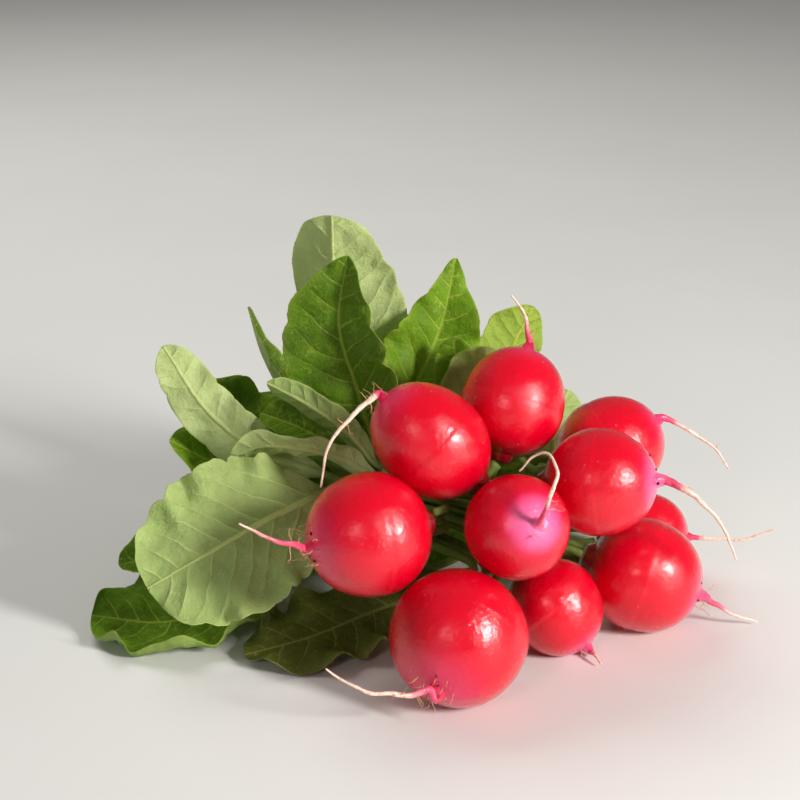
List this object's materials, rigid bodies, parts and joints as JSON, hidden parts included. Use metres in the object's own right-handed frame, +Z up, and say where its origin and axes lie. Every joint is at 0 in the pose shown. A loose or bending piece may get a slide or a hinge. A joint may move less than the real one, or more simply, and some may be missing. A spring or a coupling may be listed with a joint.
{
  "type": "bunch of red radishes",
  "caption": "Bunch of fresh red radishes with tap roots and leafy green tops, lying on its side, the leaf stalks held together by a rubber band.",
  "frame": {"origin": "on the table, under the middle of the bunch's bounding box", "axes": "+X to the side that the tap roots of the right-hand radishes point to, +Y to the back, away from the front radish, +Z up"},
  "size_m": [0.2344, 0.1869, 0.1293],
  "materials": {
    "radish_skin": "smooth glossy red skin, pink and cream at the tap root",
    "radish_leaf": "soft matt leaf, darker green above and pale green below",
    "rubber_band": "matt natural rubber"
  },
  "bodies": {
    "root": {"radish_front": "radish_skin", "radish_left": "radish_skin", "radish_upper_left": "radish_skin", "radish_top": "radish_skin", "radish_middle": "radish_skin", "radish_upper_right": "radish_skin", "radish_back_upper": "radish_skin", "radish_back_lower": "radish_skin", "radish_right": "radish_skin", "radish_small": "radish_skin", "leaf_front_left_large": "radish_leaf", "leaf_ground_left": "radish_leaf", "leaf_ground_front": "radish_leaf", "leaf_ground_left_small": "radish_leaf", "leaf_tongue": "radish_leaf", "leaf_folded": "radish_leaf", "leaf_small_front": "radish_leaf", "leaf_tall_front": "radish_leaf", "leaf_tall_back": "radish_leaf", "leaf_pointed": "radish_leaf", "leaf_centre": "radish_leaf", "leaf_thin": "radish_leaf", "leaf_upright_back": "radish_leaf", "leaf_behind_top": "radish_leaf", "leaf_dark_left": "radish_leaf", "leaf_back_left_high": "radish_leaf", "leaf_back_high": "radish_leaf", "leaf_back_middle": "radish_leaf", "leaf_back_right_high": "radish_leaf", "leaf_left_bright": "radish_leaf", "leaf_back_left_low": "radish_leaf", "leaf_back_low": "radish_leaf", "leaf_back_middle_low": "radish_leaf", "leaf_ground_back_left": "radish_leaf", "leaf_ground_back": "radish_leaf", "leaf_beside_top": "radish_leaf", "leaf_back_right": "radish_leaf", "leaf_far_right": "radish_leaf", "leaf_ground_right": "radish_leaf", "leaf_ground_far_right": "radish_leaf", "leaf_ground_middle": "radish_leaf", "leaf_back_short": "radish_leaf", "leaf_under_middle": "radish_leaf", "leaf_under_left": "radish_leaf", "rubber_band": "rubber_band"}
  },
  "joints": []
}
